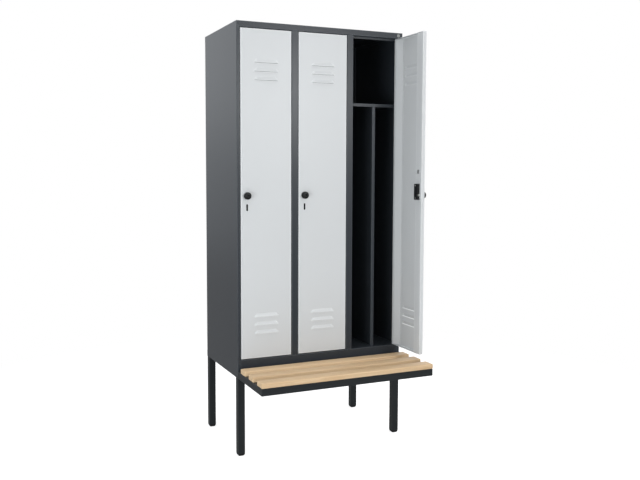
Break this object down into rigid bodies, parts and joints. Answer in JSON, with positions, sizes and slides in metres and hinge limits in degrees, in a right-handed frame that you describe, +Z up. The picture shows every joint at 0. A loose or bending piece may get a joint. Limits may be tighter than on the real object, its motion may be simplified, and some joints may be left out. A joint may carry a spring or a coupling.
{
  "type": "clean and dirty clothes locker",
  "caption": "Sheet steel clothes locker on a bench base: louvred pivot doors with turn knobs, each compartment divided for clean and dirty clothes under a hat shelf.",
  "frame": {"origin": "on the floor, midway across the width and midway between the rear of the carcass and the front of the bench", "axes": "+X to the viewer's right, +Y to the rear, +Z up"},
  "size_m": [0.9048, 0.818, 2.09],
  "materials": {
    "carcass_paint": "fine satin powder coat, mid grey",
    "door_paint": "fine satin powder coat, light grey",
    "frame_paint": "satin powder coat, anthracite",
    "beech": "clear satin lacquer",
    "knob_plastic": "satin moulding",
    "black_plastic": "matt moulding",
    "zinc_plate": "bright zinc plate"
  },
  "bodies": {
    "carcass": {"bench_rail_front": "frame_paint", "bottom_rail": "carcass_paint", "coat_rails": "zinc_plate", "cross_rail_front": "frame_paint", "cross_rail_rear": "frame_paint", "divider_1": "carcass_paint", "divider_2": "carcass_paint", "divider_3": "carcass_paint", "feet": "black_plastic", "floor_panel": "carcass_paint", "front_header": "carcass_paint", "hat_shelf_1": "carcass_paint", "hat_shelf_2": "carcass_paint", "hat_shelf_3": "carcass_paint", "leg_front_left": "frame_paint", "leg_front_right": "frame_paint", "leg_rear_left": "frame_paint", "leg_rear_right": "frame_paint", "partition_1": "carcass_paint", "partition_2": "carcass_paint", "rear_panel": "carcass_paint", "roof_panel": "carcass_paint", "side_panel_left": "carcass_paint", "side_panel_right": "carcass_paint", "side_rail_left": "frame_paint", "side_rail_right": "frame_paint", "slat_back": "beech", "slat_front": "beech", "slat_middle": "beech", "slat_screws": "zinc_plate", "stile_1": "carcass_paint", "stile_2": "carcass_paint"},
    "door_1": {"door_leaf_1": "door_paint", "door_stiffeners_1": "door_paint", "lock_case_1": "black_plastic", "pivot_pins_1": "zinc_plate", "slot_insert_1": "black_plastic"},
    "knob_1": {"turn_knob_1": "knob_plastic"},
    "bolt_1": {"latch_bolt_1": "zinc_plate"},
    "door_2": {"door_leaf_2": "door_paint", "door_stiffeners_2": "door_paint", "lock_case_2": "black_plastic", "pivot_pins_2": "zinc_plate", "slot_insert_2": "black_plastic"},
    "knob_2": {"turn_knob_2": "knob_plastic"},
    "bolt_2": {"latch_bolt_2": "zinc_plate"},
    "door_3": {"door_leaf_3": "door_paint", "door_stiffeners_3": "door_paint", "lock_case_3": "black_plastic", "pivot_pins_3": "zinc_plate", "slot_insert_3": "black_plastic"},
    "knob_3": {"turn_knob_3": "knob_plastic"},
    "bolt_3": {"latch_bolt_3": "zinc_plate"},
    "hook_1": {"coat_hook_1": "zinc_plate"},
    "hook_2": {"coat_hook_2": "zinc_plate"},
    "hook_3": {"coat_hook_3": "zinc_plate"},
    "hook_4": {"coat_hook_4": "zinc_plate"},
    "hook_5": {"coat_hook_5": "zinc_plate"},
    "hook_6": {"coat_hook_6": "zinc_plate"}
  },
  "joints": [
    {"name": "door_1_swing", "type": "hinge", "parent": "carcass", "child": "door_1", "pos_m": [-0.17483, -0.086, 1.2685], "axis": [0, 0, 1], "range_deg": [0, 110]},
    {"name": "knob_1_turn", "type": "hinge", "parent": "door_1", "child": "knob_1", "pos_m": [-0.3995, -0.091, 1.268], "axis": [0, -1, 0], "range_deg": [0, 90]},
    {"name": "bolt_1_slide", "type": "slide", "parent": "door_1", "child": "bolt_1", "axis": [-1, 0, 0], "range_m": [0, 0.012]},
    {"name": "door_2_swing", "type": "hinge", "parent": "carcass", "child": "door_2", "pos_m": [0.12583, -0.086, 1.2685], "axis": [0, 0, 1], "range_deg": [0, 110]},
    {"name": "knob_2_turn", "type": "hinge", "parent": "door_2", "child": "knob_2", "pos_m": [-0.09883, -0.091, 1.268], "axis": [0, -1, 0], "range_deg": [0, 90]},
    {"name": "bolt_2_slide", "type": "slide", "parent": "door_2", "child": "bolt_2", "axis": [-1, 0, 0], "range_m": [0, 0.012]},
    {"name": "door_3_swing", "type": "hinge", "parent": "carcass", "child": "door_3", "pos_m": [0.4265, -0.086, 1.2685], "axis": [0, 0, 1], "range_deg": [-90, 20]},
    {"name": "knob_3_turn", "type": "hinge", "parent": "door_3", "child": "knob_3", "pos_m": [0.4315, -0.31067, 1.268], "axis": [1, 0, 0], "range_deg": [0, 90]},
    {"name": "bolt_3_slide", "type": "slide", "parent": "door_3", "child": "bolt_3", "axis": [0, -1, 0], "range_m": [0, 0.012]},
    {"name": "hook_1_slide", "type": "slide", "parent": "carcass", "child": "hook_1", "axis": [1, 0, 0], "range_m": [-0.04, 0.04]},
    {"name": "hook_2_slide", "type": "slide", "parent": "carcass", "child": "hook_2", "axis": [1, 0, 0], "range_m": [-0.04, 0.04]},
    {"name": "hook_3_slide", "type": "slide", "parent": "carcass", "child": "hook_3", "axis": [1, 0, 0], "range_m": [-0.04, 0.04]},
    {"name": "hook_4_slide", "type": "slide", "parent": "carcass", "child": "hook_4", "axis": [1, 0, 0], "range_m": [-0.04, 0.04]},
    {"name": "hook_5_slide", "type": "slide", "parent": "carcass", "child": "hook_5", "axis": [1, 0, 0], "range_m": [-0.04, 0.04]},
    {"name": "hook_6_slide", "type": "slide", "parent": "carcass", "child": "hook_6", "axis": [1, 0, 0], "range_m": [-0.04, 0.04]}
  ],
  "couplings": [
    {"joint": "bolt_1_slide", "follows": "knob_1_turn", "m_per_rad": 0.0076},
    {"joint": "bolt_2_slide", "follows": "knob_2_turn", "m_per_rad": 0.0076},
    {"joint": "bolt_3_slide", "follows": "knob_3_turn", "m_per_rad": 0.0076}
  ]
}
